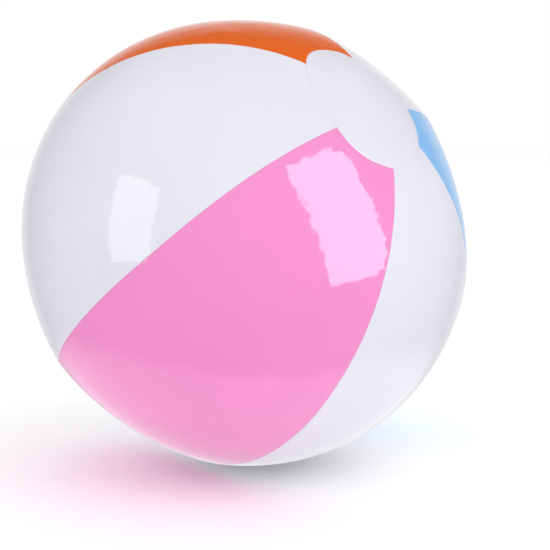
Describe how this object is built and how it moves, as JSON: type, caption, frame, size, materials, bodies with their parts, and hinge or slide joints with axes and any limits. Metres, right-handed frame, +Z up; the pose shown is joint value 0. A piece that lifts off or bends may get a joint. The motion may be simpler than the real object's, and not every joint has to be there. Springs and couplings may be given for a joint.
{
  "type": "inflatable beach ball",
  "caption": "Small inflatable vinyl beach ball with coloured panels between white ones, round end caps and a push-in air valve with a strapped plug",
  "frame": {"origin": "centre of the inflated ball, which is the centre of its bounding box", "axes": "+Z up as the ball is held or laid down; the line through the two end caps leans 53 degrees from +Z towards +X, with the plain cap on the +X +Z side and the valve on the -X -Z side"},
  "size_m": [0.221, 0.228, 0.224],
  "materials": {
    "pink_vinyl": "glossy vinyl film",
    "orange_vinyl": "glossy vinyl film",
    "blue_vinyl": "glossy vinyl film",
    "white_vinyl": "glossy vinyl film",
    "valve_pvc": "soft translucent moulded vinyl",
    "flap_film": "thin soft vinyl"
  },
  "bodies": {
    "ball": {"panel_pink": "pink_vinyl", "panel_white_right": "white_vinyl", "panel_blue": "blue_vinyl", "panel_white_back": "white_vinyl", "panel_orange": "orange_vinyl", "panel_white_left": "white_vinyl", "cap_plain": "white_vinyl", "cap_valve": "white_vinyl", "valve_flange": "valve_pvc", "valve_skirt": "valve_pvc"},
    "stem": {"valve_stem": "valve_pvc"},
    "plug": {"valve_plug": "valve_pvc"},
    "flap": {"check_flap": "flap_film"}
  },
  "joints": [
    {"name": "valve_pull", "type": "slide", "parent": "ball", "child": "stem", "axis": [-0.7986, 0, -0.6018], "range_m": [0, 0.01], "deforming": ["valve_skirt"]},
    {"name": "plug_open", "type": "hinge", "parent": "stem", "child": "plug", "pos_m": [-0.08065, 0, -0.06954], "axis": [0, -1, 0], "range_deg": [0, 100]},
    {"name": "flap_open", "type": "hinge", "parent": "stem", "child": "flap", "pos_m": [-0.07265, 0, -0.05966], "axis": [0, 1, 0], "range_deg": [0, 50], "stiffness_Nm_per_rad": 0.000004}
  ]
}
